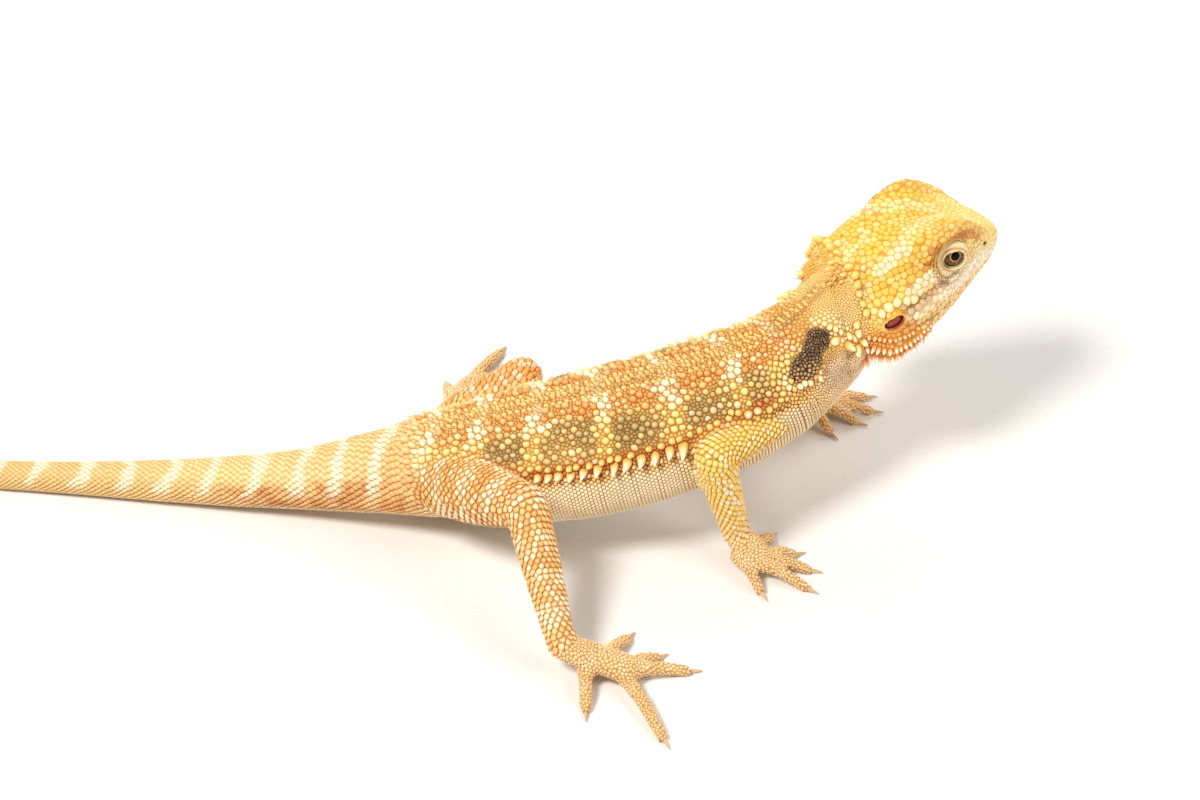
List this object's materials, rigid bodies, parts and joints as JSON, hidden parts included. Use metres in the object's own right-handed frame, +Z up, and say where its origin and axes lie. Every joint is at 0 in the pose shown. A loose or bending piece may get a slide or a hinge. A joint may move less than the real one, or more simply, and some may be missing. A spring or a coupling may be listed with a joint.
{
  "type": "still bearded dragon model",
  "caption": "Still, life-size model of a young bearded dragon that rests on its toes and tail, chest and head raised and turned to its left.",
  "frame": {"origin": "centre of the model's bounding box in plan, at floor level", "axes": "+X from the tail towards the head, +Y to the animal's left, +Z up"},
  "size_m": [0.2918, 0.114, 0.0509],
  "materials": {
    "skin": "matte",
    "eye": "gloss",
    "eardrum": "satin",
    "claw": "satin"
  },
  "bodies": {
    "root": {"eardrum_left": "eardrum", "eardrum_right": "eardrum", "eye_left": "eye", "eye_right": "eye", "foot_left": "skin", "foot_left_claw_1": "claw", "foot_left_claw_2": "claw", "foot_left_claw_3": "claw", "foot_left_claw_4": "claw", "foot_left_claw_5": "claw", "foot_right": "skin", "foot_right_claw_1": "claw", "foot_right_claw_2": "claw", "foot_right_claw_3": "claw", "foot_right_claw_4": "claw", "foot_right_claw_5": "claw", "forearm_left": "skin", "forearm_right": "skin", "hand_left": "skin", "hand_left_claw_1": "claw", "hand_left_claw_2": "claw", "hand_left_claw_3": "claw", "hand_left_claw_4": "claw", "hand_left_claw_5": "claw", "hand_right": "skin", "hand_right_claw_1": "claw", "hand_right_claw_2": "claw", "hand_right_claw_3": "claw", "hand_right_claw_4": "claw", "hand_right_claw_5": "claw", "head": "skin", "lower_jaw": "skin", "neck": "skin", "shank_left": "skin", "shank_right": "skin", "tail_base": "skin", "tail_end": "skin", "tail_middle": "skin", "thigh_left": "skin", "thigh_right": "skin", "trunk": "skin", "upper_arm_left": "skin", "upper_arm_right": "skin"}
  },
  "joints": []
}
